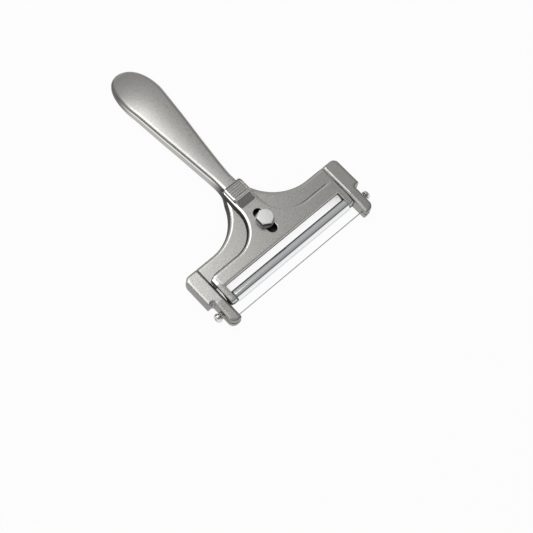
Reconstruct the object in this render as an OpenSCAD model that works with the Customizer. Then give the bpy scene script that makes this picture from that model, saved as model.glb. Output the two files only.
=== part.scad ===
// Adjustable wire cheese slicer: a cast frame with a spoon handle and two end cheeks,
// a sliding carriage that carries a roller, a clamping bolt, and a tensioned cutting wire.
// X runs along the wire, Y runs from the wire to the handle's end, Z is up.
// Inside the modules Y = 0 is the wire, and at_wire() moves a piece to its place.

/* [Overall] */
// Clear length of the wire between the two cheeks
wire_span = 106.4; // [84:0.2:140]
// Distance from the wire to the tip of the handle
handle_reach = 175.2; // [150:0.2:220]

/* [Cheeks] */
// How far a cheek reaches behind the arms
cheek_past = 0.3; // [0:0.1:3]
// Width of the rear part of a cheek
cheek_w = 11.4; // [9.5:0.1:14]
// Height of a cheek, which stands on the table
cheek_h = 11; // [10:0.1:13]
// Width of the narrower nose of a cheek
nose_w = 7.4; // [6:0.1:9]
// Length of the nose, from its tip to the step
nose_len = 18.2; // [16:0.1:22]
// Distance of the wire behind the tip of the nose
nose_ahead = 3.6; // [2.5:0.1:5]
// Radius of the outer corner at the rear of a cheek
cheek_rear_r = 4; // [2:0.1:6]
// Radius of the outer corner at the nose
nose_r = 4.6; // [2:0.1:5.5]
// Radius of the inner corner at the nose
nose_inner_r = 1.6; // [0.6:0.1:2.6]
// Chamfer along the straight top edges of a cheek
cheek_edge = 0.8; // [0.3:0.1:1.4]
// Height of the wire slit above the table
slit_z = 4.6; // [3.6:0.1:5.4]
// Thickness of the wire slit
slit_h = 1.4; // [1.2:0.1:1.8]

/* [Yoke] */
// Height of the top face of the arms
arm_top = 9; // [8:0.1:10]
// Height of the underside of the arms above the table
arm_bottom = 2; // [1:0.1:3]
// Distance from the wire to the front edge of the arms
yoke_front = 22; // [21:0.1:24]
// Distance from the wire to the rear edge of the arms beside the cheeks
arm_rear = 37.4; // [35:0.1:39]
// Radius of the curve from each arm into the neck
arm_curve_r = 34.5; // [30:0.5:36]
// Chamfer along the top edge of the arms' curve
arm_edge = 0.9; // [0.3:0.1:1.4]

/* [Handle] */
// Half width of the neck at its widest level
neck_half = 6.1; // [5.2:0.1:6.4]
// Height of the top of the neck
neck_top = 11.5; // [10.5:0.1:12]
// Widest half width of the handle
handle_half = 14; // [11:0.1:18]
// Height of the top of the handle at its widest place
handle_top = 13.4; // [11.5:0.1:15]
// Height of the underside of the handle at its widest place
handle_low = 3.1; // [2.5:0.1:4]
// Length of the rounded end, from the widest place to the tip
handle_cap_len = 27.2; // [16:0.1:30]
// Length of the end of the handle that bends down
droop_len = 40.2; // [28:0.2:60]
// How far the tip bends down
droop = 5.9; // [2:0.1:5.9]

/* [Carriage] */
// Thickness of the carriage's plate
plate_t = 3.3; // [2.6:0.1:4]
// Running gap between the plate and the arms
slide_gap = 0.1; // [0.05:0.05:0.3]
// Distance from the wire to the front edge of the plate
plate_front = 17.9; // [17:0.1:20]
// Distance from the wire to the rear edge of the plate beside the cheeks
plate_rear = 27.2; // [25:0.1:29]
// Radius of the plate's concave sides
plate_curve_r = 21.8; // [19:0.1:23]
// Chamfer along the plate's front edge
plate_front_edge = 1.2; // [0.5:0.1:1.6]
// Chamfer along the plate's concave sides
plate_edge = 0.9; // [0.3:0.1:1.2]
// Gap between a fork arm and its cheek
fork_gap = 0.8; // [0.4:0.1:1.5]
// Width of a fork arm
fork_w = 4.4; // [3:0.1:5]
// Radius of the plate's outer rear corners
fork_corner_r = 2; // [0.5:0.1:3]
// Radius of the eye that holds the roller's axle
eye_r = 3.4; // [3:0.1:3.8]

/* [Thumb block] */
// Half width of the thumb block
block_half = 7.6; // [7.5:0.05:9]
// Distance from the wire to the rear of the thumb block
block_rear = 65.7; // [64.5:0.1:67]
// Length of the block's top
block_len = 11.4; // [10:0.1:12]
// Length of the ramp in front of the block
ramp_len = 5.3; // [4:0.1:7]
// Height of the block above the plate's top
block_rise = 3.2; // [2.8:0.1:4.5]
// Width of the raised rim round the ribbed recess
block_rim = 1.4; // [1:0.1:2]
// Depth of the ribbed recess
recess_depth = 0.7; // [0.4:0.1:1]
// Number of ribs across the recess
rib_count = 5; // [3:1:7]
// Clearance between the block's skirts and the neck
neck_gap = 0.5; // [0.4:0.05:0.8]

/* [Roller] */
// Outer diameter of the roller
roller_d = 8; // [7:0.1:8.6]
// Wall of the roller tube
roller_wall = 0.8; // [0.5:0.1:1.2]
// Distance from the wire to the roller's axis
roller_y = 9.5; // [9.2:0.1:10]
// Gap between the roller's end and a fork arm
roller_end_gap = 0.4; // [0.3:0.1:1]
// Diameter of the axle
axle_d = 3; // [2:0.1:4]
// Radial play between the axle and its bushes
axle_play = 0.05; // [0.02:0.01:0.1]
// Length of a bush inside the tube
bush_len = 6; // [3:0.5:12]

/* [Centre bolt] */
// Distance from the wire to the bolt
bolt_y = 34.3; // [33.5:0.1:35]
// Thread diameter of the bolt
bolt_d = 6; // [5:0.5:6]
// Width across the flats of the head
head_af = 10; // [9:0.1:11]
// Height of the head
head_h = 4; // [3:0.1:5]
// Outer diameter of the washer under the head
washer_d = 11; // [10:0.1:14]
// Thickness of that washer
washer_t = 0.8; // [0.5:0.1:1.6]
// Play of the bolt in the slot, on each side
slot_play = 0.2; // [0.1:0.05:0.3]
// Travel of the carriage towards the wire
travel_front = 5.6; // [4:0.1:5.7]
// Travel of the carriage towards the handle
travel_rear = 6.6; // [5:0.1:6.8]
// Free length left in the slot past each end of the travel
slot_spare = 0.3; // [0.2:0.05:0.5]
// Diameter of the nut's pocket in the underside
pocket_d = 14; // [13:0.1:16]
// Depth of the nut's pocket
pocket_depth = 4.4; // [4:0.1:5]
// Height of the nut
nut_h = 3.2; // [2.5:0.1:3.4]
// How far the bolt stands past the nut
bolt_past = 0.6; // [0:0.1:1.2]
// Thickness of the spring washer
spring_t = 1.2; // [0.8:0.1:1.6]
// Outer diameter of the spring washer
spring_d = 10.6; // [9.5:0.1:12]

/* [Wire and tension screws] */
// Diameter of the cutting wire
wire_d = 0.7; // [0.5:0.05:0.9]
// Distance from the wire to a tension screw's axis
screw_y = 6.7; // [6.4:0.1:7]
// Diameter of a tension screw's shank
screw_d = 3; // [2.6:0.1:3.2]
// Length of a screw's shank in the cheek
screw_depth = 6; // [4:0.1:6.4]
// Radial play of the shank in its bore
screw_play = 0.05; // [0.02:0.01:0.1]
// Diameter of a screw's pan head
screw_head_d = 5.6; // [5:0.1:6.4]
// Height of a screw's pan head
screw_head_h = 2; // [1.6:0.1:2.4]
// Width of a blade of the cross recess
cross_w = 0.8; // [0.6:0.1:1]
// Span of the cross recess
cross_span = 3; // [2.4:0.1:3.4]
// Depth of the cross recess
cross_depth = 1.1; // [0.8:0.1:1.3]
// Diameter of the washer under a screw's head
screw_washer_d = 6; // [5.4:0.1:7]
// Thickness of that washer
screw_washer_t = 0.5; // [0.4:0.1:0.8]
// Axial pitch of the wire's turns round a screw
turn_pitch = 1.15; // [1.1:0.05:1.3]
// Turns of the wire round a screw
turns = 1.25; // [1:0.05:1.3]
// Gap between the wire's turns and the shank
turn_gap = 0.25; // [0.2:0.05:0.3]

/* [Hidden] */

// one overrun for every cut
over = 1;
// sides of true round shapes
round_sides = 96;
// length of the whole object, and where the wire then lies so that the object is centred
wire_y = -(handle_reach - nose_ahead) / 2;

// cheeks
half_span = wire_span / 2;
cheek_rear = arm_rear + cheek_past;
nose_step = nose_len - nose_ahead;
nose_outer = half_span + nose_w;
cheek_inner_r = nose_inner_r;
slit_mid = slit_z + slit_h / 2;
slit_wire_gap = 0.2;

// arms
arm_t = arm_top - arm_bottom;
arm_curve_x = neck_half + arm_curve_r;
arm_curve_y = arm_rear + arm_curve_r;

// handle: the sections run from the root, under the thumb block, to the tip
handle_root_share = 0.4;
droop_start = handle_reach - droop_len;
handle_root = block_rear - handle_root_share * block_len;
handle_peak = handle_reach - handle_cap_len;
swell_start = arm_curve_y;
swell_shares = [0, 0.08, 0.19, 0.3, 0.42, 0.55, 0.67, 0.78, 0.89, 1];
low_rate_share = 1.4;
neck_widest_share = 0.32;
handle_widest_share = 0.38;
cap_power = 2.17;
neck_top_power = 3.6;
handle_top_power = 2.3;
neck_under_power = 8;
handle_under_power = 2.6;
body_steps = 26;
cap_steps = 12;
section_steps = 16;
cap_last_angle = 89;

// carriage
plate_z = arm_top + slide_gap;
plate_top = plate_z + plate_t;
plate_curve_x = block_half + plate_curve_r;
plate_curve_y = plate_rear + plate_curve_r;
fork_outer = half_span - fork_gap;
fork_inner = fork_outer - fork_w;
block_front = block_rear - block_len;
ramp_foot = block_front - ramp_len;
block_top = plate_top + block_rise;
tunnel_half = neck_half + neck_gap;
tunnel_top = neck_top + neck_gap / 2;
tunnel_front = handle_root - travel_rear - neck_gap;
recess_half = block_half - block_rim;
recess_front = block_front + block_rim;
recess_z = block_top - recess_depth;
rib_room = block_len - 2 * block_rim;
rib_pitch = rib_room / rib_count;
rib_share = 0.5;
rib_height_share = 0.8;
fork_root_gap = 0.3;
fork_root = yoke_front - travel_rear - fork_root_gap;

// roller
roller_z = plate_top - roller_d / 2;
roller_half = fork_inner - roller_end_gap;
bush_flange_play = 0.02;
axle_end_gap = 0.1;

// bolt
slot_half = bolt_d / 2 + slot_play;
slot_rear = bolt_y + travel_front + slot_spare;
slot_front = bolt_y - travel_rear - slot_spare;
washer_bore_play = 0.2;
stack_gap = 0.1;
nut_play = 0.05;
washer_z = plate_top + stack_gap;
head_z = washer_z + washer_t;
head_chamfer = head_h / 8;
head_top_share = 0.95;
head_round_share = 1.16;
pocket_top = arm_bottom + pocket_depth;
spring_z = pocket_top - spring_t;
nut_z = spring_z - nut_h;
bolt_point = nut_z - bolt_past;
spring_wire = (spring_d - bolt_d) / 2 - washer_bore_play;
spring_split = spring_t;

// wire and tension screws
screw_tip_gap = 0.3;
dome_share = 1.35;
turn_start_share = 0.06;
turn_r = screw_d / 2 + turn_gap + wire_d / 2;
slit_exit_y = screw_y - turn_r;
slit_rise = turn_r - slit_wire_gap;
bend_len = 2 * wire_d;
turn_start_x = nose_outer + turn_gap + wire_d / 2;
turn_end_x = turn_start_x + turns * turn_pitch;
screw_washer_x = turn_end_x + wire_d / 2 + turn_gap / 2;
screw_head_x = screw_washer_x + screw_washer_t;
wire_sides = 8;
turn_rings = 24;
bend_rings = 6;

module at_wire() {
    translate([0, wire_y, 0]) children();
}

module both_sides() {
    children();
    mirror([1, 0, 0]) children();
}

// a right-angled wedge of edge c that runs along X, for a chamfer on a straight edge
module chamfer_bar(length, c) {
    rotate([45, 0, 0]) cube([length, c * sqrt(2), c * sqrt(2)], center = true);
}

// the handle's shape
function lerp(a, b, t) = a + (b - a) * t;
function smooth(t) = t * t * (3 - 2 * t);
function clamp01(t) = min(1, max(0, t));

// smooth curve through the shares, which stand at equal steps
function share_at(list, t) =
    let (
        n = len(list) - 1,
        s = clamp01(t) * n,
        i = min(n - 1, floor(s)),
        f = s - i,
        a = list[max(0, i - 1)],
        b = list[i],
        c = list[i + 1],
        d = list[min(n, i + 2)]
    )
    b + f * ((c - a) + f * ((2 * a - 5 * b + 4 * c - d) + f * (3 * b - a - 3 * c + d))) / 2;

// how far along the handle has swelled, from 0 at the neck to 1 at its widest place
function swell(y) = share_at(swell_shares, (y - swell_start) / (handle_peak - swell_start));
function cap_share(y) =
    y <= handle_peak ? 1 : pow(1 - pow((y - handle_peak) / handle_cap_len, cap_power), 1 / cap_power);
function droop_at(y) = droop * pow(clamp01((y - droop_start) / droop_len), 2);
function handle_half_at(y) = lerp(neck_half, handle_half, swell(y)) * cap_share(y);
function handle_top_at(y) = lerp(neck_top, handle_top, smooth(swell(y)));
function handle_low_at(y) = lerp(arm_bottom, handle_low, smooth(clamp01(low_rate_share * swell(y))));
function handle_mid_at(y) =
    let (share = lerp(neck_widest_share, handle_widest_share, swell(y)))
    lerp(handle_low_at(y), handle_top_at(y), share);

// one point of the section: a in degrees, 0 at the right side, 90 at the top
function super(v, power) = sign(v) * pow(abs(v), 2 / power);
function handle_point(y, a) =
    let (
        upper = a >= 0 && a <= 180,
        power = upper ? lerp(neck_top_power, handle_top_power, swell(y))
            : lerp(neck_under_power, handle_under_power, swell(y)),
        mid = handle_mid_at(y),
        rise = upper ? handle_top_at(y) - mid : mid - handle_low_at(y),
        cap = cap_share(y)
    )
    [
        handle_half_at(y) * super(cos(a), power),
        y,
        mid - droop_at(y) + rise * cap * super(sin(a), power)
    ];

handle_ys = concat(
    [for (i = [0:body_steps]) lerp(handle_root, handle_peak, i / body_steps)],
    [for (i = [1:cap_steps]) handle_peak + handle_cap_len * sin(cap_last_angle * i / cap_steps)]
);
section_angles = concat(
    [for (i = [0:section_steps - 1]) 180 * i / section_steps],
    [for (i = [0:section_steps - 1]) -180 + 180 * i / section_steps]
);

module handle_body() {
    m = len(section_angles);
    n = len(handle_ys);
    rings = [for (y = handle_ys) for (a = section_angles) handle_point(y, a)];
    walls = [for (i = [0:n - 2]) for (j = [0:m - 1])
        let (k = (j + 1) % m)
        each [
            [i * m + j, i * m + k, (i + 1) * m + k],
            [i * m + j, (i + 1) * m + k, (i + 1) * m + j]
        ]];
    ends = [[for (j = [m - 1:-1:0]) j], [for (j = [0:m - 1]) (n - 1) * m + j]];
    polyhedron(points = rings, faces = concat(walls, ends), convexity = 4);
}

// the frame
module arm_curves(grow) {
    both_sides() {
        translate([arm_curve_x, arm_curve_y]) circle(r = arm_curve_r + grow, $fn = 2 * round_sides);
        translate([arm_curve_x, arm_rear - grow])
            square([half_span, arm_curve_y]);
    }
}

module yoke_plate() {
    reach = half_span + cheek_w / 2;
    difference() {
        translate([0, 0, arm_bottom]) linear_extrude(arm_t) difference() {
            translate([-reach, yoke_front]) square([2 * reach, arm_curve_y - yoke_front]);
            arm_curves(0);
        }
        // chamfer along the curves and the straight rear edges
        both_sides() {
            translate([arm_curve_x, arm_curve_y, arm_top - arm_edge]) cylinder(
                h = arm_edge + over, r1 = arm_curve_r, r2 = arm_curve_r + arm_edge + over,
                $fn = 2 * round_sides);
            translate([(arm_curve_x + reach) / 2, arm_rear, arm_top])
                chamfer_bar(reach - arm_curve_x, arm_edge);
        }
    }
}

// what a corner of radius r loses; the corner is at the origin, and the shape lies below and left of it
module corner_waste(r) {
    difference() {
        translate([-r, -r]) square(r + over);
        translate([-r, -r]) circle(r = r, $fn = round_sides);
    }
}

module cheek_outline() {
    // rear part
    difference() {
        translate([half_span, nose_step]) square([cheek_w, cheek_rear - nose_step]);
        translate([half_span + cheek_w, cheek_rear]) corner_waste(cheek_rear_r);
        translate([half_span, cheek_rear]) mirror([1, 0]) corner_waste(cheek_inner_r);
    }
    // nose, with its tip towards -Y
    difference() {
        translate([half_span, -nose_ahead]) square([nose_w, nose_len]);
        translate([nose_outer, -nose_ahead]) mirror([0, 1]) corner_waste(nose_r);
        translate([half_span, -nose_ahead]) rotate(180) corner_waste(nose_inner_r);
    }
}

module cheek() {
    difference() {
        linear_extrude(cheek_h) cheek_outline();
        // chamfers along the long top edges
        translate([half_span + cheek_w, (nose_step + cheek_rear) / 2, cheek_h])
            rotate([0, 0, 90]) chamfer_bar(cheek_rear - nose_step, cheek_edge);
        translate([nose_outer, nose_step / 2, cheek_h])
            rotate([0, 0, 90]) chamfer_bar(nose_len, cheek_edge);
    }
}

// the slit goes round the tip of the nose, and on the outer side it climbs to the top of the screw
module nose_slit() {
    near_y = slit_wire_gap + wire_d / 2;
    intersection() {
        linear_extrude(cheek_h) polygon([
            [half_span - over, -nose_ahead - over],
            [nose_outer + over, -nose_ahead - over],
            [nose_outer + over, screw_y],
            [nose_outer, screw_y],
            [half_span, near_y],
            [half_span - over, near_y]
        ]);
        translate([half_span - over, 0, 0]) rotate([90, 0, 90]) linear_extrude(nose_w + 2 * over) polygon([
            [-nose_ahead - over, slit_z],
            [0, slit_z],
            [slit_exit_y, slit_z + slit_rise],
            [screw_y, slit_z + slit_rise],
            [screw_y, slit_z + slit_rise + slit_h],
            [slit_exit_y, slit_z + slit_rise + slit_h],
            [0, slit_z + slit_h],
            [-nose_ahead - over, slit_z + slit_h]
        ]);
    }
}

module screw_bore() {
    translate([nose_outer - screw_depth - screw_tip_gap, screw_y, slit_mid]) rotate([0, 90, 0])
        cylinder(h = screw_depth + screw_tip_gap + over, d = screw_d + 2 * screw_play, $fn = round_sides);
}

module frame() {
    color("#a8a59c") at_wire() difference() {
        union() {
            yoke_plate();
            handle_body();
            both_sides() cheek();
        }
        translate([0, bolt_y, 0]) {
            cylinder(h = arm_top + over, d = bolt_d + 2 * washer_bore_play, $fn = round_sides);
            translate([0, 0, -over]) cylinder(h = pocket_top + over, d = pocket_d, $fn = round_sides);
        }
        both_sides() nose_slit();
        both_sides() screw_bore();
    }
}

// the carriage
module plate_outline() {
    difference() {
        translate([-fork_outer, plate_front]) square([2 * fork_outer, plate_curve_y - plate_front]);
        both_sides() {
            translate([plate_curve_x, plate_curve_y]) circle(r = plate_curve_r, $fn = 2 * round_sides);
            translate([plate_curve_x, plate_rear]) square([half_span, plate_curve_y]);
            translate([fork_outer, plate_rear]) corner_waste(fork_corner_r);
        }
    }
    // stem up to the thumb block
    translate([-block_half, plate_rear]) square([2 * block_half, block_rear - plate_rear]);
}

module plate_chamfers() {
    translate([0, plate_front, plate_top]) chamfer_bar(2 * fork_inner, plate_front_edge);
    both_sides() {
        translate([plate_curve_x, plate_curve_y, plate_top - plate_edge]) cylinder(
            h = plate_edge, r1 = plate_curve_r, r2 = plate_curve_r + plate_edge, $fn = 2 * round_sides);
        translate([(plate_curve_x + fork_outer) / 2, plate_rear, plate_top])
            chamfer_bar(fork_outer - plate_curve_x + 2 * plate_edge, plate_edge);
    }
}

// side view of the block and its ramp, seen along X
module block_profile() {
    rotate([90, 0, 90]) translate([0, 0, -block_half]) linear_extrude(2 * block_half) polygon([
        [ramp_foot, plate_z],
        [block_rear, plate_z],
        [block_rear, block_top],
        [block_front, block_top],
        [ramp_foot, plate_top]
    ]);
}

// what is cut from the block's top: a shallow recess that leaves the ribs standing
module ribbed_recess() {
    difference() {
        translate([-recess_half, recess_front, recess_z])
            cube([2 * recess_half, rib_room, recess_depth + over]);
        for (i = [0:rib_count - 1])
            translate([-block_half, recess_front + (i + (1 - rib_share) / 2) * rib_pitch, recess_z - over])
                cube([2 * block_half, rib_pitch * rib_share, recess_depth * rib_height_share + over]);
    }
}

module fork_arm() {
    translate([fork_inner, 0, 0]) rotate([90, 0, 90]) linear_extrude(fork_w) union() {
        translate([roller_y, roller_z]) circle(r = eye_r, $fn = round_sides);
        polygon([
            [roller_y, roller_z + eye_r],
            [plate_front + plate_t, plate_top],
            [plate_rear - plate_t, plate_top],
            [plate_rear - plate_t, plate_z],
            [fork_root, plate_z],
            [roller_y, roller_z - eye_r]
        ]);
    }
}

module carriage() {
    color("#b0ada4") at_wire() difference() {
        union() {
            difference() {
                translate([0, 0, plate_z]) linear_extrude(plate_t) plate_outline();
                plate_chamfers();
            }
            block_profile();
            both_sides() fork_arm();
        }
        ribbed_recess();
        // tunnel over the neck
        translate([-tunnel_half, tunnel_front, plate_z - over])
            cube([2 * tunnel_half, block_rear - tunnel_front + over, tunnel_top - plate_z + over]);
        // slot for the bolt
        translate([0, 0, plate_z - over]) {
            for (y = [slot_front, slot_rear])
                translate([0, y, 0]) cylinder(h = plate_t + 2 * over, r = slot_half, $fn = round_sides);
            translate([-slot_half, slot_front, 0])
                cube([2 * slot_half, slot_rear - slot_front, plate_t + 2 * over]);
        }
        // bore for the axle, through both eyes
        translate([-fork_outer - over, roller_y, roller_z]) rotate([0, 90, 0])
            cylinder(h = 2 * (fork_outer + over), d = axle_d, $fn = round_sides);
    }
}

// the roller
module ring(h, d, bore) {
    difference() {
        cylinder(h = h, d = d, $fn = round_sides);
        translate([0, 0, -over]) cylinder(h = h + 2 * over, d = bore, $fn = round_sides);
    }
}

// turns a shape that stands along Z to lie along X on the roller's axis, starting at x
module on_roller_axis(x) {
    translate([x, roller_y, roller_z]) rotate([0, 90, 0]) children();
}

module roller_tube() {
    color("#dfe1e2") at_wire() on_roller_axis(-roller_half)
        ring(2 * roller_half, roller_d, roller_d - 2 * roller_wall);
}

module roller_bush() {
    at_wire() on_roller_axis(roller_half - bush_len)
        ring(bush_len, roller_d - 2 * roller_wall - 2 * bush_flange_play, axle_d + 2 * axle_play);
}

module roller_bush_left() {
    color("#e8e6df") mirror([1, 0, 0]) roller_bush();
}

module roller_bush_right() {
    color("#e8e6df") roller_bush();
}

module roller_axle() {
    half = fork_outer - axle_end_gap;
    color("#c9cbcc") at_wire() on_roller_axis(-half) cylinder(h = 2 * half, d = axle_d, $fn = round_sides);
}

// the bolt and what it clamps
module hexagon(h, af) {
    rotate([0, 0, 30]) cylinder(h = h, d = af / cos(30), $fn = 6);
}

module centre_bolt() {
    color("#d8d9d8") at_wire() translate([0, bolt_y, 0]) {
        intersection() {
            translate([0, 0, head_z]) hexagon(head_h, head_af);
            union() {
                translate([0, 0, head_z])
                    cylinder(h = head_h - head_chamfer, d = head_af * head_round_share, $fn = round_sides);
                translate([0, 0, head_z + head_h - head_chamfer]) cylinder(
                    h = head_chamfer, d1 = head_af * head_round_share, d2 = head_af * head_top_share,
                    $fn = round_sides);
            }
        }
        translate([0, 0, bolt_point]) cylinder(h = head_z - bolt_point, d = bolt_d, $fn = round_sides);
    }
}

module bolt_washer() {
    color("#cfd0cf") at_wire() translate([0, bolt_y, washer_z])
        ring(washer_t, washer_d, bolt_d + 2 * washer_bore_play);
}

module spring_washer() {
    color("#8d8e8d") at_wire() translate([0, bolt_y, spring_z]) difference() {
        ring(spring_t, spring_d, spring_d - 2 * spring_wire);
        translate([-spring_split / 2, 0, -over]) cube([spring_split, spring_d, spring_t + 2 * over]);
    }
}

module bolt_nut() {
    color("#c4c5c3") at_wire() translate([0, bolt_y, nut_z]) difference() {
        hexagon(nut_h, head_af);
        translate([0, 0, -over])
            cylinder(h = nut_h + 2 * over, d = bolt_d + 2 * nut_play, $fn = round_sides);
    }
}

// the wire
// it climbs through the slit to the outer side, passes over the screw and turns round its shank
function turn_point(s) = [
    turn_start_x + s * turn_pitch,
    screw_y + turn_r * sin(360 * s),
    slit_mid + turn_r * cos(360 * s)
];
function bend_point(a, b, c, t) = a * (1 - t) * (1 - t) + b * 2 * t * (1 - t) + c * t * t;

bend_in = [half_span + wire_d, 0, slit_mid];
slit_exit = [nose_outer, slit_exit_y, slit_mid + slit_rise];
slit_way = (slit_exit - bend_in) / norm(slit_exit - bend_in);
bend_entry = bend_in - [bend_len, 0, 0];
bend_leave = bend_in + slit_way * bend_len;
lift_entry = slit_exit - slit_way * bend_len;
lift_top = [turn_start_x, slit_exit_y + wire_d / 2, slit_mid + turn_r];

half_route = concat(
    [for (i = [0:bend_rings - 1]) bend_point(bend_entry, bend_in, bend_leave, i / (bend_rings - 1))],
    [for (i = [0:bend_rings - 1])
        bend_point(lift_entry, lift_top, turn_point(turn_start_share), i / (bend_rings - 1))],
    [for (i = [1:ceil(turns * turn_rings)])
        turn_point(lerp(turn_start_share, turns, i / ceil(turns * turn_rings)))]
);
function flip(p) = [-p[0], p[1], p[2]];
route = concat(
    [for (i = [len(half_route) - 1:-1:0]) flip(half_route[i])],
    half_route
);

// least gap between two stretches of the wire that are more than half a turn apart along it
apart_rings = turn_rings / 2;
least_gap = min([for (i = [0:len(half_route) - 1]) for (j = [i + apart_rings:len(half_route) - 1])
    norm(half_route[i] - half_route[j])]) - wire_d;
echo(wire_least_gap = least_gap);

function unit(v) = v / norm(v);
function along(path, i) =
    unit(path[min(len(path) - 1, i + 1)] - path[max(0, i - 1)]);
// a frame across the path that is carried from ring to ring without twisting
function carry(side, way) = unit(side - way * (side * way));
function sides_along(path, i, side, found) =
    i >= len(path) ? found :
    let (next = carry(side, along(path, i)))
    sides_along(path, i + 1, next, concat(found, [next]));

module tube(path, d, n) {
    rows = len(path);
    sides = sides_along(path, 0, [0, 0, 1], []);
    points = [for (i = [0:rows - 1]) for (j = [0:n - 1])
        let (
            a = 360 * j / n,
            u = sides[i],
            v = cross(along(path, i), u)
        )
        path[i] + (u * cos(a) + v * sin(a)) * d / 2];
    walls = [for (i = [0:rows - 2]) for (j = [0:n - 1])
        let (k = (j + 1) % n)
        each [
            [i * n + j, (i + 1) * n + k, i * n + k],
            [i * n + j, (i + 1) * n + j, (i + 1) * n + k]
        ]];
    ends = [[for (j = [0:n - 1]) j], [for (j = [n - 1:-1:0]) (rows - 1) * n + j]];
    polyhedron(points = points, faces = concat(walls, ends), convexity = 6);
}

module cutting_wire() {
    color("#b9bbbc") at_wire() tube(route, wire_d, wire_sides);
}

// the tension screws
module on_screw_axis(x) {
    translate([x, screw_y, slit_mid]) rotate([0, 90, 0]) children();
}

module tension_screw() {
    dome_r = dome_share * (pow(screw_head_d / 2, 2) + pow(screw_head_h, 2)) / (2 * screw_head_h);
    at_wire() difference() {
        union() {
            on_screw_axis(nose_outer - screw_depth)
                cylinder(h = screw_head_x - nose_outer + screw_depth, d = screw_d, $fn = round_sides);
            intersection() {
                on_screw_axis(screw_head_x) cylinder(h = screw_head_h, d = screw_head_d, $fn = round_sides);
                on_screw_axis(screw_head_x + screw_head_h - dome_r) sphere(r = dome_r, $fn = round_sides);
            }
        }
        on_screw_axis(screw_head_x + screw_head_h - cross_depth) {
            translate([-cross_w / 2, -cross_span / 2, 0]) cube([cross_w, cross_span, cross_depth + over]);
            translate([-cross_span / 2, -cross_w / 2, 0]) cube([cross_span, cross_w, cross_depth + over]);
        }
    }
}

module tension_screw_left() {
    color("#cfd0cf") mirror([1, 0, 0]) tension_screw();
}

module tension_screw_right() {
    color("#cfd0cf") tension_screw();
}

module screw_washer() {
    at_wire() on_screw_axis(screw_washer_x)
        ring(screw_washer_t, screw_washer_d, screw_d + 2 * washer_bore_play);
}

module screw_washer_left() {
    color("#c4c5c3") mirror([1, 0, 0]) screw_washer();
}

module screw_washer_right() {
    color("#c4c5c3") screw_washer();
}

frame();
carriage();
roller_tube();
roller_bush_left();
roller_bush_right();
roller_axle();
centre_bolt();
bolt_washer();
spring_washer();
bolt_nut();
cutting_wire();
tension_screw_left();
tension_screw_right();
screw_washer_left();
screw_washer_right();
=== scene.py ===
import bmesh
import bpy
import numpy as np
from mathutils import Matrix, Vector


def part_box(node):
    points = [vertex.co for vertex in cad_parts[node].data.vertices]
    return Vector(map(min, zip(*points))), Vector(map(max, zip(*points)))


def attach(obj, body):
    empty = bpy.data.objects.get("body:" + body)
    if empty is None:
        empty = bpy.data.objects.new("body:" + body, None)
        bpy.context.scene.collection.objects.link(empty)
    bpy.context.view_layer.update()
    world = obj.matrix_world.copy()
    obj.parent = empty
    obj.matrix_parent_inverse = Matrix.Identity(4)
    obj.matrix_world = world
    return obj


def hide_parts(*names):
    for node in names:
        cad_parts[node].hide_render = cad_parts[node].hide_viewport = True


# Adjustable wire cheese slicer. Shapes are worked out in millimetres with Y = 0 at the cutting wire,
# X along the wire and Z up, and are moved to their place in metres when they become pieces.
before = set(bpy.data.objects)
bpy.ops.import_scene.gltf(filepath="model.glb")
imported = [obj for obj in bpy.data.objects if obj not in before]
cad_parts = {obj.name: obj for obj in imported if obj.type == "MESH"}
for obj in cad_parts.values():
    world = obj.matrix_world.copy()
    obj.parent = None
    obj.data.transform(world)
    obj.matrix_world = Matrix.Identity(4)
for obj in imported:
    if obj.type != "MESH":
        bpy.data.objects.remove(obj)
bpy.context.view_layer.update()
mm = 0.001
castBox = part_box("frame")
noseAhead = 3.6                                      # the wire lies this far behind the tips of the noses
wireY = castBox[0].y / mm + noseAhead


def addObject(name, data):
    # a new object at the origin, linked to the scene
    made = bpy.data.objects.new(name, data)
    bpy.context.scene.collection.objects.link(made)
    return made


# Camera
cameraSizes = {
    "target": (-18.10, 12.29, 5.0),                  # what it looks at, in the slicer's own millimetres
    "distance": 800.0,
    "azimuth": -56.36,
    "elevation": 66.54,
    "roll": 14.39,
    "focalPixels": 1293.74,
    "picturePixels": 533.0,
    "sensor": 36.0,
    "clip": (0.01, 50.0),
}


def makeCamera(sizes):
    # the camera stands at target + distance * back, and rolls about its own line of sight
    a, e, r = np.radians([sizes["azimuth"], sizes["elevation"], sizes["roll"]])
    back = np.array([np.sin(a) * np.cos(e), -np.cos(a) * np.cos(e), np.sin(e)])
    level = np.array([np.cos(a), np.sin(a), 0.0])
    top = np.cross(back, level)
    right = level * np.cos(r) + top * np.sin(r)
    up = top * np.cos(r) - level * np.sin(r)
    target = np.array(sizes["target"]) + [0, wireY, 0]
    data = bpy.data.cameras.new("slicerCamera")
    data.sensor_width = sizes["sensor"]
    data.lens = sizes["focalPixels"] / sizes["picturePixels"] * sizes["sensor"]
    data.clip_start, data.clip_end = sizes["clip"]
    camera = addObject("slicerCamera", data)
    place = np.eye(4)
    place[:3, :3] = np.stack([right, up, back], 1)
    place[:3, 3] = (target + back * sizes["distance"]) * mm
    camera.matrix_world = Matrix(place.tolist())
    bpy.context.scene.camera = camera


makeCamera(cameraSizes)
print("camera placed")


# Outlines and surfaces
def lerp(a, b, t):
    # from a to b, in proportion to t
    return a + (b - a) * t


def clamp(t):
    # holds t between 0 and 1
    return np.clip(t, 0.0, 1.0)


def smooth(t):
    # eases from 0 to 1: t squared times (3 - 2 t)
    t = clamp(t)
    return t * t * (3 - 2 * t)


def unit(v):
    # a vector over its own length
    return v / np.linalg.norm(v, axis=-1, keepdims=True)


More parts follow.
